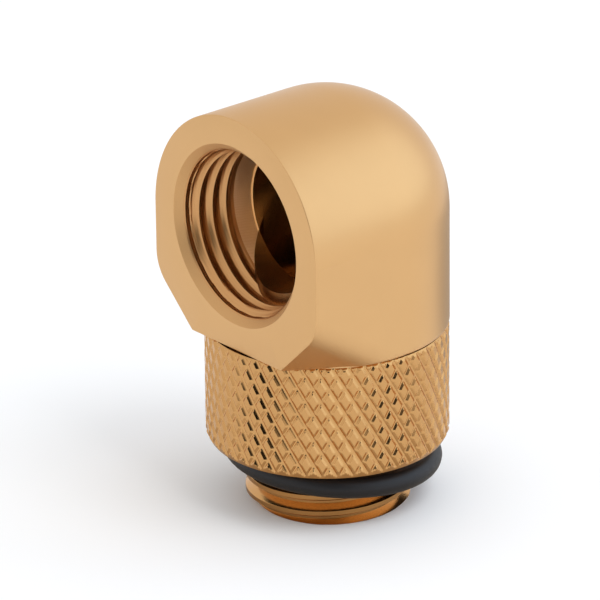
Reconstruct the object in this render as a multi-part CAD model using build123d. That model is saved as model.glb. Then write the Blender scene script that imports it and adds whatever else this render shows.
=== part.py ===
from build123d import *
import math
import os

# Rotary 90 degree G1/4 adapter: a female port in an elbow that swivels without limit on a knurled male base.
# Millimetres, +Z up. Origin: on the swivel axis, in the plane of the nipple's open end.
# The female port faces -Y and the male thread points down -Z.

# Pipe thread, G1/4: parallel, 55 degree flanks, 19 ridges an inch.
# Its ridges are modelled as parallel rings at the true pitch, depth and flank angle.
THREAD_PITCH = 25.4 / 19
THREAD_MAJOR_R = 13.157 / 2
THREAD_MINOR_R = 11.445 / 2
THREAD_FLAT = THREAD_PITCH / 6  # width of each root, and of each crest that isn't cut away
THREAD_FLANK_SLOPE = (THREAD_PITCH / 2 - THREAD_FLAT) / (THREAD_MAJOR_R - THREAD_MINOR_R)

# Rotary base: nipple below the sealing face, collar above it
SEAL_Z = 5.30
NIPPLE_END_R = 6.20
NIPPLE_CRESTS = 3
FIRST_CREST_Z = SEAL_Z - 1.60
COLLAR_R = 9.47
COLLAR_TOP_Z = SEAL_Z + 9.20
COLLAR_TOP_BEVEL = 0.22
COLLAR_FOOT_RADIAL = 0.24
COLLAR_FOOT_HEIGHT = 0.45
WATERWAY_R = 4.50  # through the nipple and the spigot

# Swivel: socket in the collar, spigot under the elbow
SOCKET_R = 7.20
SOCKET_FLOOR_Z = SEAL_Z + 1.60
SPIGOT_R = SOCKET_R - 0.05  # running clearance
SPIGOT_FOOT_Z = SOCKET_FLOOR_Z + 0.30
BODY_FOOT_Z = COLLAR_TOP_Z + 0.09  # the swivel's visible gap
SPIGOT_NECK_R = 6.00  # pressed up into the elbow
SPIGOT_NECK_TOP_Z = BODY_FOOT_Z + 1.95

# The two O-rings between spigot and socket
RING_SECTION = 1.12
RING_GROOVE_R = 6.00
RING_INNER_R = RING_GROOVE_R + 0.02
RING_GROOVE_WIDTH = 1.50
RING_CENTRES_Z = {"upper": COLLAR_TOP_Z - 2.20, "lower": COLLAR_TOP_Z - 4.40}

# Open spring ring that keeps the spigot in the socket
CLIP_CENTRE_Z = SOCKET_FLOOR_Z + 1.35
CLIP_THICKNESS = 0.70
CLIP_INNER_R = 6.30
CLIP_OUTER_R = 7.70
CLIP_GAP_DEGREES = 40
CLIP_GROOVE_WIDTH = 0.90
CLIP_GROOVE_INNER_R = CLIP_INNER_R - 0.05
CLIP_GROOVE_OUTER_R = CLIP_OUTER_R + 0.25

# Slip washer let into the collar's top
WASHER_INNER_R = 7.25
WASHER_OUTER_R = 8.20
WASHER_THICKNESS = 0.55
WASHER_SEAT_R = WASHER_OUTER_R + 0.05
WASHER_SEAT_Z = COLLAR_TOP_Z - 0.50

# Seal under the collar
FACE_RING_SECTION = 2.00
FACE_RING_OUTER_R = 9.00
FACE_RING_DROP = 0.04

# Elbow
BODY_R = 9.50
PORT_AXIS_Z = SEAL_Z + 18.70
FACE_Y = -9.10
BOTTOM_HALF_WIDTH = 5.30
SIDE_CORNER_Z = PORT_AXIS_Z - 5.38  # where upright side and bevel would meet if the corner were sharp
SIDE_CORNER_R = 3.40
CORNER_CUT_FALL = 0.638  # the cut across each lower front corner sinks by this for each millimetre back
FACE_EDGE_BREAK = 0.08

# Female port, in depth below its face
MOUTH_R = 7.25
MOUTH_INNER_R = 6.72
MOUTH_DEPTH = 0.55
MOUTH_STEP_DEPTH = 0.66
PORT_CREST_R = 6.18  # its crests are cut well back
PORT_CREST_WIDTH = THREAD_FLAT + 2 * (PORT_CREST_R - THREAD_MINOR_R) * THREAD_FLANK_SLOPE
PORT_CRESTS = 3
FIRST_PORT_CREST = 1.45
RELIEF_END_R = 5.70
RELIEF_END_DEPTH = 6.45
ELBOW_BORE_R = 5.50  # across and down alike, so the two drillings meet in a mitre
CROSS_DRILL_END = 12.30
CROSS_DRILL_TIP = 2.60


def ring_of(points):
    """Solid of revolution about Z from a closed outline of (radius, height) points."""
    outline = Polyline(*[(r, 0, z) for r, z in points], close=True)
    return revolve(make_face(outline), Axis.Z, 360)


def tube(outer_r, inner_r, low_z, high_z):
    """Plain sleeve about Z."""
    return ring_of([(inner_r, low_z), (outer_r, low_z), (outer_r, high_z), (inner_r, high_z)])


def drill(radius, low_z, high_z):
    """Plain round bar about Z."""
    return Pos(0, 0, low_z) * Cylinder(radius, high_z - low_z, align=(Align.CENTER, Align.CENTER, Align.MIN))


def o_ring(centre_r, section, centre_z):
    """Rubber ring of round section about Z."""
    return Pos(0, 0, centre_z) * Torus(centre_r, section / 2)


def ridges(first, step, count, crest_r, crest_width, root_r):
    """Outline of a thread's ridges: crest and root flats joined by straight flanks, one ridge a pitch."""
    half_crest, half_root = step * crest_width / 2, step * THREAD_FLAT / 2
    points = []
    for turn in range(count):
        crest = first + step * turn * THREAD_PITCH
        root = crest + step * THREAD_PITCH / 2
        points += [(crest_r, crest - half_crest), (crest_r, crest + half_crest)]
        points += [(root_r, root - half_root), (root_r, root + half_root)]
    return points


def rotary_base():
    """Collar and male nipple, turned in one piece, with the socket that the elbow swivels in."""
    thread = ridges(FIRST_CREST_Z, -1, NIPPLE_CRESTS, THREAD_MAJOR_R, THREAD_FLAT, THREAD_MINOR_R)
    outline = [
        (WATERWAY_R, SOCKET_FLOOR_Z),
        (SOCKET_R, SOCKET_FLOOR_Z),
        (SOCKET_R, WASHER_SEAT_Z),
        (WASHER_SEAT_R, WASHER_SEAT_Z),
        (WASHER_SEAT_R, COLLAR_TOP_Z),
        (COLLAR_R - COLLAR_TOP_BEVEL, COLLAR_TOP_Z),
        (COLLAR_R, COLLAR_TOP_Z - COLLAR_TOP_BEVEL),
        (COLLAR_R, SEAL_Z + COLLAR_FOOT_HEIGHT),
        (COLLAR_R - COLLAR_FOOT_RADIAL, SEAL_Z),
        (THREAD_MINOR_R, SEAL_Z),
        (THREAD_MINOR_R, FIRST_CREST_Z + (THREAD_PITCH - THREAD_FLAT) / 2),
    ]
    outline += thread
    outline += [(NIPPLE_END_R, 0), (WATERWAY_R, 0)]
    half = CLIP_GROOVE_WIDTH / 2
    clip_groove = tube(CLIP_GROOVE_OUTER_R, SOCKET_R - 1, CLIP_CENTRE_Z - half, CLIP_CENTRE_Z + half)
    return ring_of(outline) - clip_groove


def swivel_spigot():
    """Turned tube under the elbow, with two O-ring grooves and a groove for the retaining ring."""
    spigot = drill(SPIGOT_R, SPIGOT_FOOT_Z, BODY_FOOT_Z)
    spigot += drill(SPIGOT_NECK_R, BODY_FOOT_Z, SPIGOT_NECK_TOP_Z)
    for centre_z in RING_CENTRES_Z.values():
        half = RING_GROOVE_WIDTH / 2
        spigot -= tube(SPIGOT_R + 1, RING_GROOVE_R, centre_z - half, centre_z + half)
    half = CLIP_GROOVE_WIDTH / 2
    spigot -= tube(SPIGOT_R + 1, CLIP_GROOVE_INNER_R, CLIP_CENTRE_Z - half, CLIP_CENTRE_Z + half)
    return spigot - drill(WATERWAY_R, SPIGOT_FOOT_Z - 1, SPIGOT_NECK_TOP_Z + 1)


def spigot_o_ring(centre_z):
    """One of the two seals between spigot and socket."""
    return o_ring(RING_INNER_R + RING_SECTION / 2, RING_SECTION, centre_z)


def retaining_ring():
    """Open spring ring, half in the spigot's groove and half in the socket's."""
    half = CLIP_THICKNESS / 2
    ring = tube(CLIP_OUTER_R, CLIP_INNER_R, CLIP_CENTRE_Z - half, CLIP_CENTRE_Z + half)
    reach = 2 * CLIP_OUTER_R
    opening = Polyline(
        (0, 0),
        Vector(reach, 0).rotate(Axis.Z, -CLIP_GAP_DEGREES / 2),
        Vector(reach, 0).rotate(Axis.Z, CLIP_GAP_DEGREES / 2),
        close=True,
    )
    wedge = extrude(Pos(0, 0, CLIP_CENTRE_Z - CLIP_THICKNESS) * make_face(opening), 2 * CLIP_THICKNESS)
    return ring - wedge


def slip_washer():
    """Low-friction washer in the collar's top that the elbow turns on."""
    return tube(WASHER_OUTER_R, WASHER_INNER_R, WASHER_SEAT_Z, WASHER_SEAT_Z + WASHER_THICKNESS)


def face_o_ring():
    """Seal that the collar presses against the port's face."""
    radius = FACE_RING_SECTION / 2
    return o_ring(FACE_RING_OUTER_R - radius, FACE_RING_SECTION, SEAL_Z - FACE_RING_DROP - radius)


def port_face_plane():
    """Plane of the port's face, seen from the front, with its origin on the port's axis."""
    return Plane(origin=(0, FACE_Y, PORT_AXIS_Z), x_dir=(1, 0, 0), z_dir=(0, -1, 0))


def corner_cut(side):
    """Cutter for one lower front corner: outside of a rounded bevel that sinks as it runs back."""
    foot = BODY_FOOT_Z - PORT_AXIS_Z
    corner = SIDE_CORNER_Z - PORT_AXIS_Z
    spare = BODY_R / 2
    bevel = Vector(BOTTOM_HALF_WIDTH - BODY_R, foot - corner)
    lowest = Vector(BODY_R, corner) + bevel * 2
    turn = math.radians(bevel.get_angle(Vector(0, -1)))
    round_top = corner + SIDE_CORNER_R * math.tan(turn / 2)
    rounded = FilletPolyline((BODY_R, round_top), (BODY_R, corner), (lowest.X, lowest.Y), radius=SIDE_CORNER_R)
    around = Polyline(
        (lowest.X, lowest.Y),
        (BODY_R + spare, lowest.Y),
        (BODY_R + spare, round_top),
        (BODY_R, round_top),
    )
    outline = make_face([*rounded.edges(), *around.edges()])
    fall = Vector(0, 1, -CORNER_CUT_FALL)
    cutter = extrude(Pos(*(fall * -1)) * port_face_plane() * outline, (fall * (1 - FACE_Y)).length, dir=fall)
    return cutter if side > 0 else mirror(cutter, Plane.YZ)


def port_cutter():
    """Everything that is bored and tapped from the port's face, pointing down from its own origin."""
    thread = ridges(FIRST_PORT_CREST, 1, PORT_CRESTS, PORT_CREST_R, PORT_CREST_WIDTH, THREAD_MAJOR_R)
    flank = (THREAD_MAJOR_R - PORT_CREST_R) * THREAD_FLANK_SLOPE
    relief_start = FIRST_PORT_CREST + PORT_CRESTS * THREAD_PITCH - PORT_CREST_WIDTH / 2
    profile = [
        (0, -1),
        (MOUTH_R, -1),
        (MOUTH_R, 0),
        (MOUTH_INNER_R, MOUTH_DEPTH),
        (THREAD_MAJOR_R, MOUTH_STEP_DEPTH),
        (THREAD_MAJOR_R, FIRST_PORT_CREST - PORT_CREST_WIDTH / 2 - flank),
        *thread,
        (PORT_CREST_R, relief_start),
        (RELIEF_END_R, RELIEF_END_DEPTH),
        (ELBOW_BORE_R, RELIEF_END_DEPTH),
        (ELBOW_BORE_R, CROSS_DRILL_END),
        (0, CROSS_DRILL_END + CROSS_DRILL_TIP),
    ]
    return ring_of([(r, -depth) for r, depth in profile])


def elbow_body():
    """Domed elbow with a flat port face, bored through to the spigot below."""
    foot = BODY_FOOT_Z - PORT_AXIS_Z
    sides = Polyline((BODY_R, 0), (BODY_R, foot), (-BODY_R, foot), (-BODY_R, 0))
    crown = ThreePointArc((BODY_R, 0), (0, BODY_R), (-BODY_R, 0))
    block = extrude(port_face_plane() * make_face([*sides.edges(), crown]), FACE_Y)
    dome = drill(BODY_R, BODY_FOOT_Z, PORT_AXIS_Z) + Pos(0, 0, PORT_AXIS_Z) * Sphere(BODY_R)
    in_front_of_face = Pos(0, FACE_Y, PORT_AXIS_Z) * Box(
        4 * BODY_R, 4 * BODY_R, 4 * BODY_R, align=(Align.CENTER, Align.MAX, Align.CENTER)
    )
    body = block + (dome - in_front_of_face)
    for side in (1, -1):
        body -= corner_cut(side)
    body = chamfer(body.faces().sort_by(Axis.Y)[0].edges(), FACE_EDGE_BREAK)
    body -= Pos(0, FACE_Y, PORT_AXIS_Z) * Rot(90, 0, 0) * port_cutter()
    body -= drill(ELBOW_BORE_R, BODY_FOOT_Z - 1, PORT_AXIS_Z)
    body -= drill(SPIGOT_NECK_R, BODY_FOOT_Z - 1, SPIGOT_NECK_TOP_Z)
    return body


def write(name, solid):
    """One file for each piece."""
    solid.label = name
    export_step(solid, f"parts/{name}.step")


def main():
    os.makedirs("parts", exist_ok=True)
    write("rotary_base", rotary_base())
    write("face_o_ring", face_o_ring())
    write("slip_washer", slip_washer())
    write("elbow_body", elbow_body())
    write("swivel_spigot", swivel_spigot())
    write("retaining_ring", retaining_ring())
    for place, centre_z in RING_CENTRES_Z.items():
        write(f"spigot_o_ring_{place}", spigot_o_ring(centre_z))


main()
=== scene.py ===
import math

import bmesh
import bpy
import numpy as np
from mathutils import Matrix, Vector


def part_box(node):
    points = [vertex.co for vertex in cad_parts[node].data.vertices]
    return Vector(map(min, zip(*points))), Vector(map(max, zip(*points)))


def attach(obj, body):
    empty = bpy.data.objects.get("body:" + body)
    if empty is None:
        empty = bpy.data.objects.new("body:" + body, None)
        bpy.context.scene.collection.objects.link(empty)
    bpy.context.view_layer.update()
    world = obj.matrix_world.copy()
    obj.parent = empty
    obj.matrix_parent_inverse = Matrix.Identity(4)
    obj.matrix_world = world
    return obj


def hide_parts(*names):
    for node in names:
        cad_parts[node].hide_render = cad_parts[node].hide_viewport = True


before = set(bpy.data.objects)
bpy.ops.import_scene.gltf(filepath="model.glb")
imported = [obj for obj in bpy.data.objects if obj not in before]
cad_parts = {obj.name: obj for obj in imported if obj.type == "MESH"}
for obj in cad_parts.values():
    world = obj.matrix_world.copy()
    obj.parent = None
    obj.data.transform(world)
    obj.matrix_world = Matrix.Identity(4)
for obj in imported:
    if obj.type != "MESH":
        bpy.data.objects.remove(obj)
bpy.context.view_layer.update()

# Rotary 90 degree G1/4 adapter. Lengths below are millimetres, and meshes are written in metres.
MM = 0.001


def node_box(node):
    """Lowest and highest corners of a CAD node, in millimetres."""
    low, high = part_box(node)
    return np.array(low) / MM, np.array(high) / MM


# Places and sizes that come from the frame
BODY_LOW, BODY_HIGH = node_box("elbow_body")
BASE_HIGH = node_box("rotary_base")[1]
RING_HIGH = node_box("face_o_ring")[1]
RING_DROP = 0.04  # the CAD ring lies this far under the collar
BODY_R = BODY_HIGH[0]
FACE_Y = BODY_LOW[1]
AXIS_Z = BODY_HIGH[2] - BODY_R
FOOT_Z = BODY_LOW[2]
COLLAR_R = BASE_HIGH[0]
COLLAR_TOP_Z = BASE_HIGH[2]
SEAL_Z = RING_HIGH[2] + RING_DROP  # the collar's lower face

# Pipe thread, G1/4
PITCH = 25.4 / 19
MAJOR_R = 13.157 / 2
MINOR_R = 11.445 / 2
ROOT_FLAT = PITCH / 6
FLANK_SLOPE = (PITCH / 2 - ROOT_FLAT) / (MAJOR_R - MINOR_R)
THREAD_EASE = 0.012  # half width of the bevel on each thread corner, in pitches
TAPPED_LAND = 0.07  # half width of a tapped thread's crest, in pitches
TAPPED_STEPS = 9

# Mesh building
WELD = 0.0008  # nearer points become one
SLIVER = 0.0004  # shorter edges go
TINY = 1e-9  # lengths that differ by less are equal


def towards(azimuth, elevation=0.0):
    """Unit vector towards an azimuth and elevation in degrees. Azimuth 0 is -Y and 90 is +X."""
    a, e = math.radians(azimuth), math.radians(elevation)
    return Vector((math.sin(a) * math.cos(e), -math.cos(a) * math.cos(e), math.sin(e)))


def new_mesh(name, vertices, faces, groups, sharp_angle):
    """Mesh object from millimetre points: welded, facing outward, and smooth but for edges over the sharp
    angle."""
    mesh = bpy.data.meshes.new(name)
    mesh.from_pydata((np.asarray(vertices) * MM).tolist(), [], faces)
    mesh.polygons.foreach_set("material_index", groups)
    bm = bmesh.new()
    bm.from_mesh(mesh)
    bmesh.ops.remove_doubles(bm, verts=bm.verts, dist=WELD * MM)
    bmesh.ops.dissolve_degenerate(bm, edges=bm.edges, dist=SLIVER * MM)
    bmesh.ops.recalc_face_normals(bm, faces=bm.faces)
    bm.to_mesh(mesh)
    bm.free()
    mesh.polygons.foreach_set("use_smooth", [True] * len(mesh.polygons))
    mesh.set_sharp_from_angle(angle=math.radians(sharp_angle))
    mesh.update()
    obj = bpy.data.objects.new(name, mesh)
    bpy.context.scene.collection.objects.link(obj)
    return obj


class Skin:
    """Collects grids of points and their faces into one mesh. A face's group is its material's number."""

    def __init__(self):
        self.points = []
        self.faces = []
        self.groups = []

    def add_points(self, points):
        first = len(self.points)
        self.points += [tuple(p) for p in points]
        return first

    def add_face(self, face, group):
        self.faces.append(tuple(face))
        self.groups.append(group)

    def grid(self, rows, group=0, closed=True):
        """Quads between neighbouring rows of points. Closed rows join their last point to their first."""
        rows = np.asarray(rows, float)
        count = rows.shape[1]
        first = self.add_points(rows.reshape(-1, 3))
        last = count if closed else count - 1
        for r in range(rows.shape[0] - 1):
            low, high = first + r * count, first + (r + 1) * count
            for c in range(last):
                d = (c + 1) % count
                self.add_face((low + c, low + d, high + d, high + c), group)

    def helix(self, columns, ribs, turns, place, group=0):
        """Grid whose rows follow a helix: rib g at the last column runs on as rib g + ribs at the first.
        place gives the point of a rib and a column."""
        total = ribs * (turns + 1)
        first = self.add_points([place(g, c) for g in range(total) for c in range(columns)])
        for g in range(total - 1):
            for c in range(columns):
                d = c + 1
                shift = 0
                if d == columns:
                    d, shift = 0, ribs
                if g + shift + 1 >= total:
                    continue
                a = first + g * columns + c
                b = first + (g + shift) * columns + d
                self.add_face((a, b, b + columns, a + columns), group)

    def build(self, name, sharp_angle):
        return new_mesh(name, self.points, self.faces, self.groups, sharp_angle)


def whole_pitch(half):
    """Phases and radii of a whole pitch, from the points of its first half."""
    back = [(1 - phase, radius) for phase, radius in reversed(half[1:-1])]
    return [phase for phase, _ in half + back], [radius for _, radius in half + back]


def thread_form(crest_r, root_r):
    """One pitch of thread: phases from 0 at the crest's middle, and the radius at each. Roots have the
    standard flat, crests what the flanks leave, and each corner has one narrow bevel."""
    root = ROOT_FLAT / 2 / PITCH
    flank = abs(crest_r - root_r) * FLANK_SLOPE / PITCH
    crest = 0.5 - root - flank
    ease = THREAD_EASE
    slope = (root_r - crest_r) / flank
    half = [
        (0.0, crest_r),
        (crest - ease, crest_r),
        (crest + ease, crest_r + ease * slope),
        (0.5 - root - ease, root_r - ease * slope),
        (0.5 - root + ease, root_r),
        (0.5, root_r),
    ]
    return whole_pitch(half)


def rounded_form(crest_r, root_r):
    """One pitch of tapped thread, a narrow crest between rounded grooves, in the form of thread_form."""
    half = [(0.0, crest_r)]
    for k in range(TAPPED_STEPS + 1):
        share = k / TAPPED_STEPS
        phase = TAPPED_LAND + (0.5 - TAPPED_LAND) * share
        half.append((phase, root_r - (root_r - crest_r) * (1 - share) ** 2))
    return whole_pitch(half)


def form_radius(form, phase):
    """Radius of a thread form at any phase."""
    phases, radii = form
    return float(np.interp(phase % 1.0, [*phases, 1.0], [*radii, radii[0]]))


# ---------------------------------------------------------------- elbow

# Heights are above the port's axis, and depths are behind its face.
EDGE_BREAK = 0.08
SIDE_CORNER_Z = -5.38
SIDE_CORNER_R = 3.40
CORNER_CUT_FALL = 0.638  # the cut across each lower front corner sinks by this for each millimetre back
BOTTOM_HALF_WIDTH = 5.30
FOOT_FILLET = 0.35
ELBOW_FOOT = FOOT_Z - AXIS_Z
MOUTH_R = 7.25
MOUTH_INNER_R = 6.72
MOUTH_DEPTH = 0.55
MOUTH_STEP_DEPTH = 0.66
PORT_CREST_R = 6.18
PORT_CREST_TOP = 2.08  # depth of a crest's middle straight above the port's axis
TURNS_BEFORE_FACE = 3
LEAD_R = 6.64
LEAD = (1.05, 1.45)  # depths between which the plain mouth narrows to the thread's crests
THREAD_FADE = (4.25, 5.10)  # depths between which the grooves run out
RELIEF_START = 5.10
RELIEF_END = 6.45
RELIEF_END_R = 5.70
ELBOW_BORE_R = 5.50
NECK_R = 6.00
NECK_TOP = 1.95  # above the elbow's foot
ELBOW_SHARP = 28  # edges over this many degrees are sharp

# how finely each stretch is divided
CROWN_STEPS = 128
DOME_STEPS = 64
SIDE_STEPS = 40
CORNER_STEPS = 24
BEVEL_STEPS = 24
BOTTOM_STEPS = 32
EDGE_STEPS = 3
RUN_STEPS = 40
DOWN_STEPS = 8
TURN_STEPS = 24
HALVINGS = 40  # in the search for where a line meets the cylinder

# materials of the elbow by number, after 0 for its outside
MACHINED, BORE, RELIEF, MOUTH = 1, 2, 3, 4


def corner_arc(before, corner, after):
    """Points and outward normals round the side's rounded corner."""
    before, corner, after = (np.array(p, float) for p in (before, corner, after))
    into = (corner - before) / np.linalg.norm(corner - before)
    out = (after - corner) / np.linalg.norm(after - corner)
    turn = math.acos(float(np.clip(into @ out, -1, 1)))
    start = corner - into * SIDE_CORNER_R * math.tan(turn / 2)
    inward = np.array([into[1], -into[0]])
    centre = start + inward * SIDE_CORNER_R
    found = []
    for k in range(CORNER_STEPS + 1):
        a = -turn * k / CORNER_STEPS
        c, s = math.cos(a), math.sin(a)
        normal = np.array([[c, -s], [s, c]]) @ -inward
        found.append((*(centre + normal * SIDE_CORNER_R), *normal))
    return found


def straight(start, end, normal, count):
    """Points inside a straight stretch, without its ends."""
    start, end = np.array(start, float), np.array(end, float)
    return [(*(start + (end - start) * k / count), *normal) for k in range(1, count)]


def face_outline():
    """Closed outline of the port's face about the port axis, clockwise seen from the front: x, z and
    normal. Also the count of points on its right flank."""
    crown = []
    for k in range(CROWN_STEPS + 1):
        a = math.pi * (k / CROWN_STEPS - 0.5)
        crown.append((BODY_R * math.sin(a), BODY_R * math.cos(a), math.sin(a), math.cos(a)))
    side, corner, low = (BODY_R, 0), (BODY_R, SIDE_CORNER_Z), (BOTTOM_HALF_WIDTH, ELBOW_FOOT)
    arc = corner_arc(side, corner, low)
    right = straight(side, arc[0][:2], (1, 0), SIDE_STEPS)
    right += arc
    right += straight(arc[-1][:2], low, arc[-1][2:], BEVEL_STEPS)
    # the foot corner is mitred: both its faces are offset by the same amount
    bevel_normal = np.array(arc[-1][2:])
    mitre = bevel_normal + np.array((0, -1))
    mitre /= 1 + float(bevel_normal @ np.array((0, -1)))
    right.append((*low, *mitre))
    left = [(-x, z, -nx, nz) for x, z, nx, nz in reversed(right)]
    bottom = straight(low, (-low[0], ELBOW_FOOT), (0, -1), BOTTOM_STEPS)
    return np.array(crown + right + bottom + left), len(right)


def fillet_drop(z, fillet):
    """How far the rounded foot of the elbow draws in at height z."""
    if fillet <= 0:
        return 0.0
    up = min(max(z - ELBOW_FOOT, 0.0), fillet)
    return fillet - math.sqrt(fillet**2 - (fillet - up) ** 2)


def flank_column(px, pz, fall, fillet):
    """One line of the elbow's flank, from the face's outline back to the upright cylinder and down it to
    the foot. It sinks by fall for each millimetre back, and ends early where it meets the foot."""
    front = FACE_Y + EDGE_BREAK

    def at(back):
        z = max(pz - fall * back, ELBOW_FOOT)
        return px - fillet_drop(z, fillet), front + back, z

    def outside(back):
        x, y, z = at(back)
        return math.hypot(x, y) > BODY_R - fillet_drop(z, fillet) + TINY

    longest = -front if fall <= 0 else min(-front, (pz - ELBOW_FOOT) / fall)
    low, high = 0.0, longest
    if longest > 0 and not outside(longest):
        for _ in range(HALVINGS):
            middle = (low + high) / 2
            low, high = (middle, high) if outside(middle) else (low, middle)
    column = [at(high * math.sin(math.pi / 2 * k / RUN_STEPS)) for k in range(RUN_STEPS + 1)]
    x, y, z = column[-1]
    reach = math.hypot(x, y)
    for k in range(1, DOWN_STEPS + 1):
        level = z + (ELBOW_FOOT - z) * math.sin(math.pi / 2 * k / DOWN_STEPS)
        scale = (BODY_R - fillet_drop(level, fillet)) / reach if z > ELBOW_FOOT + TINY else 1.0
        column.append((x * scale, y * scale, level))
    return column


def crown_and_back(skin, crown, levels):
    """Crown, dome and the back of the upright cylinder, with its rings at the levels. Returns the last."""
    rows = [[(px, y, pz) for px, pz, _, _ in crown] for y in (FACE_Y + EDGE_BREAK, 0)]
    for k in range(1, DOME_STEPS + 1):
        a = math.pi / 2 * k / DOME_STEPS
        rows.append([(px, pz * math.sin(a), pz * math.cos(a)) for px, pz, _, _ in crown])
    for level in levels[1:]:
        scale = 1 - fillet_drop(level, FOOT_FILLET) / BODY_R
        rows.append([(px * scale, pz * scale, level) for px, pz, _, _ in crown])
    skin.grid(rows, closed=False)
    return rows[-1]


def side_and_cut(skin, right, levels, mirror):
    """One side of the elbow: lines that fan out from the face's edge to the cylinder's rings, then the
    rounded corner and the cut below it. Returns the edge of the underside there."""
    front_y = FACE_Y + EDGE_BREAK
    side = []
    for (px, pz, _, _), level in zip(right, levels):
        line = []
        for k in range(RUN_STEPS + 1):
            share = math.sin(math.pi / 2 * k / RUN_STEPS)
            height = pz + (level - pz) * share
            line.append((mirror * (px - fillet_drop(height, FOOT_FILLET)), front_y * (1 - share), height))
        side.append(line)
    skin.grid(side, closed=False)
    first_fall = (right[SIDE_STEPS][1] - ELBOW_FOOT) / -front_y
    flank = []
    for index, (px, pz, _, _) in enumerate(right[SIDE_STEPS:]):
        turned = min(index / CORNER_STEPS, 1.0)
        fall = first_fall + (CORNER_CUT_FALL - first_fall) * turned
        column = flank_column(px, pz, fall, FOOT_FILLET * (1 - turned))
        flank.append([(mirror * cx, cy, cz) for cx, cy, cz in column])
    skin.grid(flank, closed=False)
    return [line[-1] for line in flank]


def elbow_outside(skin, loop, right_count):
    """The elbow's outer skin from the broken edge of its face. Returns the edge of the flat underside."""
    x, z, nx, nz = loop.T
    rows = []
    for k in range(EDGE_STEPS + 1):
        a = math.pi / 2 * k / EDGE_STEPS
        inset = EDGE_BREAK * (1 - math.sin(a))
        y = FACE_Y + EDGE_BREAK * (1 - math.cos(a))
        rows.append(np.column_stack([x - nx * inset, np.full_like(x, y), z - nz * inset]))
    skin.grid(rows)
    # the rings of the upright cylinder are closer where its foot is rounded
    levels = [ELBOW_FOOT * math.sin(math.pi / 2 * k / SIDE_STEPS) for k in range(SIDE_STEPS + 1)]
    back = crown_and_back(skin, loop[: CROWN_STEPS + 1], levels)
    right = loop[CROWN_STEPS : CROWN_STEPS + 1 + right_count]
    right_edge, left_edge = (side_and_cut(skin, right, levels, mirror) for mirror in (1, -1))
    low_x = right[-1][0]
    bottom = [
        (px, FACE_Y + EDGE_BREAK, ELBOW_FOOT)
        for px, pz, _, _ in loop
        if pz <= ELBOW_FOOT + TINY and abs(px) < low_x - TINY
    ]
    return [*back, *right_edge[1:], *bottom, *left_edge[:0:-1]]


def port_radius(depth, phase, form):
    """Radius of the port at a depth: a plain mouth, then thread that fades out."""
    radius = form_radius(form, phase)
    fade = float(np.interp(depth, THREAD_FADE, (1.0, 0.0)))
    lead = float(np.interp(depth, LEAD, (LEAD_R, PORT_CREST_R)))
    return max(PORT_CREST_R + (radius - PORT_CREST_R) * fade, lead)


def elbow_port(skin, loop):
    """Flat face, mouth, thread, relief, bore and its turn down to the spigot's seat. Returns the seat's
    lowest ring."""
    x, z, nx, nz = loop.T
    theta = np.unwrap(np.arctan2(x, z))
    start = theta[0]
    theta -= start
    count = len(loop)
    circle = np.column_stack([np.sin(theta + start), np.zeros(count), np.cos(theta + start)])
    face_edge = np.column_stack([x - nx * EDGE_BREAK, np.full(count, FACE_Y), z - nz * EDGE_BREAK])
    skin.grid([face_edge, circle * MOUTH_R + (0, FACE_Y, 0)])
    form = rounded_form(PORT_CREST_R, MAJOR_R)
    ribs = len(form[0])
    # a crest's middle at the first column, a few turns before the face
    first_depth = PORT_CREST_TOP + PITCH * start / (2 * math.pi) - TURNS_BEFORE_FACE * PITCH

    def place(g, c):
        turn, rib = divmod(g, ribs)
        along = turn + form[0][rib] + theta[c] / (2 * math.pi)
        depth = first_depth + PITCH * along
        depth = min(max(depth, MOUTH_STEP_DEPTH), RELIEF_START)
        phase = (depth - first_depth) / PITCH - theta[c] / (2 * math.pi)
        return circle[c] * port_radius(depth, phase, form) + (0, FACE_Y + depth, 0)

    def ring(depth):
        phase = (depth - first_depth) / PITCH - theta / (2 * math.pi)
        radii = np.array([port_radius(depth, p, form) for p in phase])
        return circle * radii[:, None] + (0, FACE_Y + depth, 0)

    mouth = [circle * MOUTH_R + (0, FACE_Y, 0), circle * MOUTH_INNER_R + (0, FACE_Y + MOUTH_DEPTH, 0)]
    skin.grid(mouth, group=MOUTH)
    skin.grid([mouth[1], ring(MOUTH_STEP_DEPTH)], group=MACHINED)
    turns = math.ceil((RELIEF_START - first_depth) / PITCH) + 1
    skin.helix(count, ribs, turns, place, group=MACHINED)
    bore = circle * ELBOW_BORE_R
    relief = [ring(RELIEF_START), circle * RELIEF_END_R + (0, FACE_Y + RELIEF_END, 0)]
    skin.grid([*relief, bore + (0, FACE_Y + RELIEF_END, 0)], group=RELIEF)
    # the bore runs in, turns down and meets the seat of the spigot
    turn_at = np.minimum(bore[:, 2], 0)
    upper = np.maximum(bore[:, 2], 0)
    rows = [bore + (0, FACE_Y + RELIEF_END, 0), np.column_stack([bore[:, 0], turn_at, bore[:, 2]])]
    for k in range(1, TURN_STEPS + 1):
        a = math.pi / 2 * k / TURN_STEPS
        back, up = upper * math.sin(a) + turn_at, upper * math.cos(a) + turn_at
        rows.append(np.column_stack([bore[:, 0], back, up]))
    down = np.column_stack([bore[:, 0], bore[:, 2], np.full(count, ELBOW_FOOT + NECK_TOP)])
    rows += [down]
    skin.grid(rows, group=BORE)
    spread = NECK_R / ELBOW_BORE_R
    seat = [down, down * (spread, spread, 1), down * (spread, spread, 0) + (0, 0, ELBOW_FOOT)]
    skin.grid(seat, group=BORE)
    return seat[-1]


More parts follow.
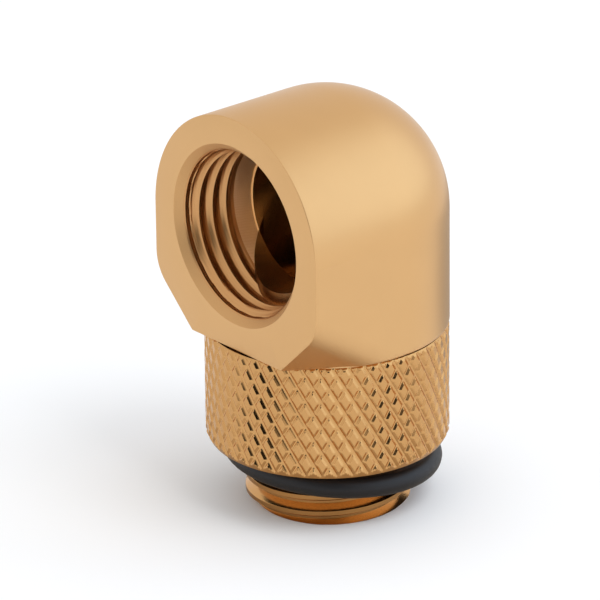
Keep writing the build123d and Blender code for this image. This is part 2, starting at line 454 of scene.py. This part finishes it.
def underside(skin, outer, inner):
    """Flat ring from the elbow's edge to the spigot's hole, in triangles, as the loops' counts differ."""

    def ordered(points):
        first = skin.add_points(points)
        angles = np.arctan2(points[:, 0], points[:, 1])
        order = np.argsort(angles)
        return first + order, angles[order]

    def after(angles, index):
        """Angle of the next point, which goes on growing past a whole turn."""
        return angles[(index + 1) % len(angles)] + 2 * math.pi * ((index + 1) // len(angles))

    outer_points, outer_angles = ordered(outer)
    inner_points, inner_angles = ordered(inner)
    outer_count, inner_count = len(outer), len(inner)
    i = j = 0
    while i < outer_count or j < inner_count:
        a, b = int(outer_points[i % outer_count]), int(inner_points[j % inner_count])
        if i < outer_count and (j >= inner_count or after(outer_angles, i) <= after(inner_angles, j)):
            i += 1
            skin.add_face((a, int(outer_points[i % outer_count]), b), MACHINED)
        else:
            j += 1
            skin.add_face((a, int(inner_points[j % inner_count]), b), MACHINED)


def elbow_shell():
    """The whole elbow as one closed skin."""
    skin = Skin()
    loop, right_count = face_outline()
    outer = np.array(elbow_outside(skin, loop, right_count))
    seat = elbow_port(skin, loop)
    underside(skin, outer, seat)
    skin.points = [(px, py, pz + AXIS_Z) for px, py, pz in skin.points]
    return skin.build("elbow_shell", ELBOW_SHARP)


# ---------------------------------------------------------------- base

KNURL_COUNT = 48
KNURL_STEP = 24  # lattice units in one knurl pitch
KNURL_ROWS = 104  # a row is about a lattice unit divided by the tangent of the knurl's 30 degrees
# each groove's depth, and the widths of its left flank, floor and right flank in lattice units
FALLING_GROOVE = (0.185, 5, 3, 5)
RISING_GROOVE = (0.15, 5, 0, 5)
KNURL_DRIFT = 0.12  # share by which the rising grooves' depth drifts around the collar
KNURL_DRIFT_WAVES = 5
COLLAR_TOP_BEVEL = 0.22
COLLAR_FOOT_RADIAL = 0.24
COLLAR_FOOT_HEIGHT = 0.45
NIPPLE_END_R = 6.20
NIPPLE_CREST_R = 6.44  # a little under the thread's full size
NIPPLE_CREST_Z = 1.06  # height of a crest's middle at the angle below
NIPPLE_CREST_TURN = math.radians(-40)
TURNS_BELOW_END = 2
NIPPLE_THREAD_TOP = SEAL_Z - 0.75
NIPPLE_RUN_OUT = 0.3  # the thread fades over this height
NECK_CORNER = 0.1  # bevel where the nipple meets the collar
MOUTH_BEVEL = 0.25  # at the waterway's open end
WATERWAY_R = 4.50
SOCKET_R = 7.20
SOCKET_FLOOR_Z = SEAL_Z + 1.60
WASHER_SEAT_R = 8.25
WASHER_SEAT_Z = COLLAR_TOP_Z - 0.50
BASE_SHARP = 24

# materials of the base by number
COLLAR, INSIDE = 0, 1


def knurl_cut(units, groove):
    """Depth of a groove some lattice units to the right of its left edge."""
    depth, left, floor_width, right = groove
    corners = np.cumsum([0, left, floor_width, right])
    return float(np.interp(units % KNURL_STEP, corners, [0, depth, depth, 0]))


def knurl_radius(i, j, z, uneven):
    """Collar radius at lattice point i, j: two families of grooves and the bevels at top and foot."""
    falling = knurl_cut(i + j, FALLING_GROOVE)
    rising = knurl_cut(i - j, RISING_GROOVE)
    radius = COLLAR_R - max(falling, rising * uneven)
    top = COLLAR_R - COLLAR_TOP_BEVEL + (COLLAR_TOP_Z - z)
    foot = COLLAR_R - COLLAR_FOOT_RADIAL + (z - SEAL_Z) * COLLAR_FOOT_RADIAL / COLLAR_FOOT_HEIGHT
    return min(radius, top, foot)


def collar_skin(skin):
    """Knurled band as a lattice whose lines follow the grooves. Returns its lowest and highest rings."""
    around = KNURL_COUNT * KNURL_STEP
    index = {}
    rings = {}
    for j in range(KNURL_ROWS + 1):
        z = SEAL_Z + (COLLAR_TOP_Z - SEAL_Z) * j / KNURL_ROWS
        ring = []
        for i in range(j % 2, around, 2):
            a = 2 * math.pi * i / around
            uneven = 1 + KNURL_DRIFT * math.sin(KNURL_DRIFT_WAVES * a)
            r = knurl_radius(i, j, z, uneven)
            ring.append((r * math.cos(a), r * math.sin(a), z))
            index[i, j] = len(skin.points) + len(ring) - 1
        skin.add_points(ring)
        rings[j] = ring
    for j in range(KNURL_ROWS + 1):
        for i in range((j + 1) % 2, around, 2):
            left, right = index[(i - 1) % around, j], index[(i + 1) % around, j]
            over, under = index.get((i % around, j + 1)), index.get((i % around, j - 1))
            face = [v for v in (left, under, right, over) if v is not None]
            skin.add_face(face, COLLAR)
    return rings[0], rings[KNURL_ROWS]


def nipple_radius(z, phase, form):
    """Radius of the male thread, cut by the chamfer at its end and the relief under the collar."""
    radius = min(form_radius(form, phase), NIPPLE_END_R + z)
    left = (NIPPLE_THREAD_TOP - z) / NIPPLE_RUN_OUT
    return MINOR_R + (radius - MINOR_R) * min(max(left, 0.0), 1.0)


def knurled_base():
    """Collar and nipple as one closed skin."""
    skin = Skin()
    low_ring, top_ring = collar_skin(skin)
    columns = len(low_ring)
    angle = np.arange(columns) * 2 * math.pi / columns
    circle = np.column_stack([np.cos(angle), np.sin(angle), np.zeros(columns)])
    form = thread_form(NIPPLE_CREST_R, MINOR_R)
    ribs = len(form[0])
    first_z = NIPPLE_CREST_Z - TURNS_BELOW_END * PITCH
    turn_share = (angle - NIPPLE_CREST_TURN) / (2 * math.pi)

    def at(radius, z):
        return circle * radius + (0, 0, z)

    def on_thread(z, c):
        phase = (z - first_z) / PITCH - turn_share[c]
        return circle[c] * nipple_radius(z, phase, form) + (0, 0, z)

    def place(g, c):
        turn, rib = divmod(g, ribs)
        z = first_z + PITCH * (turn + form[0][rib] + turn_share[c])
        return on_thread(min(max(z, 0.0), NIPPLE_THREAD_TOP), c)

    under_collar = [
        np.array(low_ring),
        at(MINOR_R + NECK_CORNER, SEAL_Z),
        at(MINOR_R, SEAL_Z - NECK_CORNER),
        at(MINOR_R, NIPPLE_THREAD_TOP),
    ]
    skin.grid(under_collar, group=COLLAR)
    turns = math.ceil((NIPPLE_THREAD_TOP - first_z) / PITCH) + 1
    skin.helix(columns, ribs, turns, place, group=COLLAR)
    inside = [
        np.array([on_thread(0.0, c) for c in range(columns)]),
        at(WATERWAY_R + MOUTH_BEVEL, 0),
        at(WATERWAY_R, MOUTH_BEVEL),
        at(WATERWAY_R, SOCKET_FLOOR_Z),
        at(SOCKET_R, SOCKET_FLOOR_Z),
        at(SOCKET_R, WASHER_SEAT_Z),
        at(WASHER_SEAT_R, WASHER_SEAT_Z),
        at(WASHER_SEAT_R, COLLAR_TOP_Z),
        np.array(top_ring),
    ]
    skin.grid(inside, group=INSIDE)
    return skin.build("knurled_base", BASE_SHARP)


# ---------------------------------------------------------------- face seal

SEAL_SECTION = 1.84
SEAL_CENTRE_R = 7.65
SEAL_SLIDE = 0.45  # it has slipped to one side
SEAL_SLIDE_AZIMUTH = 180
SEAL_DROOP = 1.30  # and on one side it hangs below the collar
SEAL_DROOP_AZIMUTH = 151
SEAL_FLASH = 0.012  # height of the moulding line
SEAL_FLAT = 0.94  # its top is flat from this share of its half section
SEAL_COLUMNS = 256
SEAL_STEPS = 48
SEAL_SHARP = 60


def face_seal():
    """O-ring under the collar: round section, flattened on top, with a fine moulding line outside."""
    half = SEAL_SECTION / 2
    centre_z = RING_HIGH[2] - half
    angle = np.arange(SEAL_COLUMNS) * 2 * math.pi / SEAL_COLUMNS
    slide = towards(SEAL_SLIDE_AZIMUTH) * SEAL_SLIDE
    lowest = towards(SEAL_DROOP_AZIMUTH)
    droop = SEAL_DROOP * (1 + np.cos(angle) * lowest.x + np.sin(angle) * lowest.y) / 2
    rows = []
    for k in range(SEAL_STEPS + 1):
        a = 2 * math.pi * k / SEAL_STEPS
        flash = SEAL_FLASH if k in (0, SEAL_STEPS) else 0.0
        r = SEAL_CENTRE_R + (half - SEAL_FLASH + flash) * math.cos(a)
        z = centre_z + min(half * math.sin(a), SEAL_FLAT * half) - droop
        rows.append(np.column_stack([r * np.cos(angle) + slide.x, r * np.sin(angle) + slide.y, z]))
    skin = Skin()
    skin.grid(rows)
    return skin.build("face_seal", SEAL_SHARP)


# ---------------------------------------------------------------- materials

GOLD = (0.66, 0.392, 0.172)
TONE_DRIFT = 0.03  # the plate's colour drifts by this share each way
GLOSS_DRIFT = 0.04  # and its roughness by this
BUMP_HEIGHT = 0.01  # of grain and tool marks
NOISE_RANGE = (0.3, 0.7)  # noise mostly stays within this


def new_material(name):
    material = bpy.data.materials.new(name)
    material.use_nodes = True
    nodes = material.node_tree.nodes
    return material, nodes, material.node_tree.links, nodes["Principled BSDF"]


def noise_node(nodes, links, scale, detail, roughness=0.5):
    """Noise in object space, its scale in features a millimetre."""
    place = nodes.new("ShaderNodeTexCoord")
    noise = nodes.new("ShaderNodeTexNoise")
    noise.inputs["Scale"].default_value = scale / MM
    noise.inputs["Detail"].default_value = detail
    noise.inputs["Roughness"].default_value = roughness
    links.new(place.outputs["Object"], noise.inputs["Vector"])
    return noise


def roughness_from(nodes, links, noise, shader, low, high):
    """Lets the noise move the shader's roughness between two values."""
    spread = nodes.new("ShaderNodeMapRange")
    spread.inputs["From Min"].default_value, spread.inputs["From Max"].default_value = NOISE_RANGE
    spread.inputs["To Min"].default_value = low
    spread.inputs["To Max"].default_value = high
    links.new(noise.outputs["Fac"], spread.inputs["Value"])
    links.new(spread.outputs["Result"], shader.inputs["Roughness"])


def add_bump(nodes, links, texture, shader, strength):
    """Bump from a texture, over whatever bump the shader has."""
    bump = nodes.new("ShaderNodeBump")
    bump.inputs["Strength"].default_value = strength
    bump.inputs["Distance"].default_value = BUMP_HEIGHT * MM
    links.new(texture.outputs["Fac"], bump.inputs["Height"])
    under = shader.inputs["Normal"].links
    if under:
        links.new(under[0].from_socket, bump.inputs["Normal"])
    links.new(bump.outputs["Normal"], shader.inputs["Normal"])


def gold_material(name, colour, roughness, grain):
    """Gold plate: slight tone and gloss drift, and a fine grain in the surface."""
    material, nodes, links, shader = new_material(name)
    shader.inputs["Metallic"].default_value = 1.0
    drift = noise_node(nodes, links, scale=0.25, detail=3)
    tone = nodes.new("ShaderNodeMix")
    tone.data_type = "RGBA"
    tone.inputs["A"].default_value = (*[c * (1 - TONE_DRIFT) for c in colour], 1)
    tone.inputs["B"].default_value = (*[min(c * (1 + TONE_DRIFT), 1) for c in colour], 1)
    links.new(drift.outputs["Fac"], tone.inputs["Factor"])
    links.new(tone.outputs["Result"], shader.inputs["Base Color"])
    fine = noise_node(nodes, links, scale=14, detail=4, roughness=0.6)
    roughness_from(nodes, links, fine, shader, roughness - GLOSS_DRIFT, roughness + GLOSS_DRIFT)
    add_bump(nodes, links, fine, shader, grain)
    return material


def turned_material(name, colour, roughness, axis, scale=3.0, depth=0.25):
    """Bored, turned or tapped metal: gold plate in the colour given, over fine tool marks across an axis.
    The port's and bore's darker copies of the gold are painted shade, and the relief's lighter copy is
    painted light.
    """
    material = gold_material(name, colour, roughness, grain=0.3)
    nodes, links = material.node_tree.nodes, material.node_tree.links
    place = nodes.new("ShaderNodeTexCoord")
    rings = nodes.new("ShaderNodeTexWave")
    rings.bands_direction = axis
    rings.inputs["Scale"].default_value = scale / MM
    rings.inputs["Distortion"].default_value = 1.5
    rings.inputs["Detail"].default_value = 2
    links.new(place.outputs["Object"], rings.inputs["Vector"])
    add_bump(nodes, links, rings, nodes["Principled BSDF"], depth)
    return material


def rubber_material():
    """Black moulded rubber, slightly mottled in its gloss."""
    material, nodes, links, shader = new_material("seal_rubber")
    shader.inputs["Base Color"].default_value = (0.010, 0.009, 0.010, 1)
    shader.inputs["Specular IOR Level"].default_value = 0.35
    fine = noise_node(nodes, links, scale=9, detail=5, roughness=0.65)
    roughness_from(nodes, links, fine, shader, 0.38, 0.52)
    add_bump(nodes, links, fine, shader, 0.25)
    return material


def plain_material(name, colour, metallic, low, high):
    """Hidden pieces: one colour with a fine gloss variation between two roughnesses."""
    material, nodes, links, shader = new_material(name)
    shader.inputs["Base Color"].default_value = (*colour, 1)
    shader.inputs["Metallic"].default_value = metallic
    fine = noise_node(nodes, links, scale=6, detail=3)
    roughness_from(nodes, links, fine, shader, low, high)
    return material


def shade(colour, share):
    return [c * share for c in colour]


satin_gold = gold_material("satin_gold", GOLD, 0.34, grain=0.35)
# darker, redder copy of the gold: painted shade in the knurl's grooves
shaded_knurl_gold = gold_material("shaded_knurl_gold", (0.58, 0.314, 0.117), 0.16, grain=0.4)
mouth_gold = gold_material("mouth_gold", GOLD, 0.55, grain=0.35)
# darker, redder copy of the gold: painted shade in the tapped port's thread
shaded_port_gold = turned_material("shaded_port_gold", (0.58, 0.305, 0.122), 0.33, "Y", scale=1.4, depth=0.6)
# gold darkened to 0.68: painted shade down the bore
shaded_bore_gold = turned_material("shaded_bore_gold", shade(GOLD, 0.68), 0.30, "Y")
# lighter, paler copy of the gold: painted light on the relief cone
lit_relief_gold = turned_material("lit_relief_gold", (1.0, 0.70, 0.41), 0.40, "Z", scale=1.6, depth=1.0)
turned_gold = turned_material("turned_gold", shade(GOLD, 0.8), 0.24, "Z")
rubber = rubber_material()
spring_steel = plain_material("spring_steel", (0.55, 0.55, 0.56), 1.0, 0.25, 0.4)
slip_plastic = plain_material("slip_plastic", (0.80, 0.79, 0.75), 0.0, 0.45, 0.6)


# ---------------------------------------------------------------- assembly

elbow = elbow_shell()
# in the order of their numbers: outside, MACHINED, BORE, RELIEF and MOUTH
for material in (satin_gold, shaded_port_gold, shaded_bore_gold, lit_relief_gold, mouth_gold):
    elbow.data.materials.append(material)
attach(elbow, "elbow")
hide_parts("elbow_body")

base = knurled_base()
# COLLAR, then INSIDE
for material in (shaded_knurl_gold, turned_gold):
    base.data.materials.append(material)
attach(base, "base")
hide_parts("rotary_base")

seal = face_seal()
seal.data.materials.append(rubber)
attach(seal, "base")
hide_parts("face_o_ring")

NODE_MATERIALS = {
    "swivel_spigot": turned_gold,
    "spigot_o_ring_upper": rubber,
    "spigot_o_ring_lower": rubber,
    "retaining_ring": spring_steel,
    "slip_washer": slip_plastic,
}
for node, material in NODE_MATERIALS.items():
    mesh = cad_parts[node].data
    mesh.materials.clear()
    mesh.materials.append(material)


# ---------------------------------------------------------------- floor, light and camera

# heights and places in millimetres, directions in degrees
FLOOR_Z = -0.02
FLOOR_HALF = 1500
FLOOR_WHITE = (0.90, 0.90, 0.90)
CARD_Z = -0.01
SURROUND = (0.97, 0.97, 0.97)
GLOW = (1.36, 1.56, 1.82)
CAMERA_AZIMUTH = 49.95
CAMERA_ELEVATION = 23.01
CAMERA_ROLL = -0.65
CAMERA_DISTANCE = 459.2
CAMERA_ASIDE = -1.956  # the camera's axis passes the part this far to one side
CAMERA_ABOVE = -7.179  # and this far above the port's axis
CAMERA_LENS = 360
CAMERA_SENSOR = 36
CAMERA_CLIP = (50, 10000)


def square(name, half, height, material):
    """Flat square of the set, which isn't part of the object."""
    corners = [(-half, -half, 0), (half, -half, 0), (half, half, 0), (-half, half, 0)]
    mesh = bpy.data.meshes.new(name)
    mesh.from_pydata([[v * MM for v in corner] for corner in corners], [], [(0, 1, 2, 3)])
    mesh.materials.append(material)
    obj = bpy.data.objects.new(name, mesh)
    obj.location.z = height * MM
    bpy.context.scene.collection.objects.link(obj)
    return obj


def floor():
    """Large pale floor under the nipple's end."""
    material, _, _, shader = new_material("floor_white")
    shader.inputs["Base Color"].default_value = (*FLOOR_WHITE, 1)
    shader.inputs["Roughness"].default_value = 0.9
    square("floor", FLOOR_HALF, FLOOR_Z, material)


def card(name, centre, inner, outer, colour):
    """Round card on the floor, full inside one radius and gone at the other, seen only in reflections. It
    paints darkness into the metal's reflections, and casts no shadow or light of its own.
    """
    material, nodes, links, shader = new_material(name)
    shader.inputs["Base Color"].default_value = (*colour, 1)
    place = nodes.new("ShaderNodeTexCoord")
    length = nodes.new("ShaderNodeVectorMath")
    length.operation = "LENGTH"
    links.new(place.outputs["Object"], length.inputs[0])
    edge = nodes.new("ShaderNodeMapRange")
    edge.interpolation_type = "SMOOTHSTEP"
    edge.inputs["From Min"].default_value = inner * MM
    edge.inputs["From Max"].default_value = outer * MM
    links.new(length.outputs["Value"], edge.inputs["Value"])
    mix = nodes.new("ShaderNodeMixShader")
    links.new(edge.outputs["Result"], mix.inputs["Fac"])
    links.new(shader.outputs["BSDF"], mix.inputs[1])
    links.new(nodes.new("ShaderNodeBsdfTransparent").outputs["BSDF"], mix.inputs[2])
    links.new(mix.outputs["Shader"], nodes["Material Output"].inputs["Surface"])
    obj = square(name, outer, CARD_Z, material)
    obj.location.x, obj.location.y = centre[0] * MM, centre[1] * MM
    obj.visible_camera = False
    obj.visible_diffuse = False
    obj.visible_shadow = False


def soft_box(name, azimuth, elevation, distance, size, power):
    """Round light, in metres and watts, that looks at the port's axis and doesn't show in reflections."""
    light = bpy.data.lights.new(name, "AREA")
    light.shape = "DISK"
    light.size = size
    light.energy = power
    obj = bpy.data.objects.new(name, light)
    bpy.context.scene.collection.objects.link(obj)
    back = towards(azimuth, elevation)
    obj.location = Vector((0, 0, AXIS_Z * MM)) + back * distance
    obj.rotation_mode = "QUATERNION"
    obj.rotation_quaternion = (-back).to_track_quat("-Z", "Y")
    obj.visible_glossy = False


def world_patch(nodes, links, azimuth, elevation, inner, outer):
    """Factor of 1 within an angle of a direction, falling to 0 at a wider one."""
    place = nodes.new("ShaderNodeTexCoord")
    dot = nodes.new("ShaderNodeVectorMath")
    dot.operation = "DOT_PRODUCT"
    dot.inputs[1].default_value = towards(azimuth, elevation)
    links.new(place.outputs["Generated"], dot.inputs[0])
    edge = nodes.new("ShaderNodeMapRange")
    edge.interpolation_type = "SMOOTHSTEP"
    edge.inputs["From Min"].default_value = math.cos(math.radians(outer))
    edge.inputs["From Max"].default_value = math.cos(math.radians(inner))
    links.new(dot.outputs["Value"], edge.inputs["Value"])
    return edge.outputs["Result"]


def surroundings():
    """Pale all round, brighter at the back right, with a soft dark gap at the front right."""
    world = bpy.data.worlds.new("studio")
    bpy.context.scene.world = world
    world.use_nodes = True
    nodes, links = world.node_tree.nodes, world.node_tree.links
    glow = nodes.new("ShaderNodeMix")
    glow.data_type = "RGBA"
    glow.clamp_result = False
    glow.inputs["A"].default_value = (*SURROUND, 1)
    glow.inputs["B"].default_value = (*GLOW, 1)
    bright = world_patch(nodes, links, azimuth=138, elevation=22, inner=5, outer=55)
    links.new(bright, glow.inputs["Factor"])
    links.new(glow.outputs["Result"], nodes["Background"].inputs["Color"])
    gap = nodes.new("ShaderNodeMath")
    gap.operation = "SUBTRACT"
    gap.inputs[0].default_value = 1.0
    dark = world_patch(nodes, links, azimuth=52, elevation=14, inner=6, outer=32)
    links.new(dark, gap.inputs[1])
    links.new(gap.outputs["Value"], nodes["Background"].inputs["Strength"])


def camera():
    """Long lens from the front right, a little above."""
    back = towards(CAMERA_AZIMUTH, CAMERA_ELEVATION)
    azimuth, roll = math.radians(CAMERA_AZIMUTH), math.radians(CAMERA_ROLL)
    right = Vector((math.cos(azimuth), math.sin(azimuth), 0))
    up = back.cross(right)
    right, up = right * math.cos(roll) + up * math.sin(roll), up * math.cos(roll) - right * math.sin(roll)
    data = bpy.data.cameras.new("camera")
    data.sensor_width = CAMERA_SENSOR
    data.lens = CAMERA_LENS
    data.clip_start, data.clip_end = (v * MM for v in CAMERA_CLIP)
    obj = bpy.data.objects.new("camera", data)
    bpy.context.scene.collection.objects.link(obj)
    turn = Matrix((right, up, back)).transposed()
    place = Vector((0, 0, AXIS_Z)) + back * CAMERA_DISTANCE + right * CAMERA_ASIDE + up * CAMERA_ABOVE
    obj.matrix_world = Matrix.Translation(place * MM) @ turn.to_4x4()
    bpy.context.scene.camera = obj


floor()
# brownish card round the foot, seen only in reflections: painted shadow of the floor under the part
card("shadow_card_under", centre=(0, 0), inner=10, outer=20, colour=(0.55, 0.47, 0.38))
# grey card behind, seen only in reflections: painted dark reflection along the body's right edge
card("dark_reflection_card_behind", centre=(-22, 52), inner=24, outer=46, colour=(0.38, 0.37, 0.35))
surroundings()
soft_box("key", azimuth=95, elevation=55, distance=0.5, size=0.25, power=0.7)
camera()
bpy.context.scene.view_settings.view_transform = "Standard"
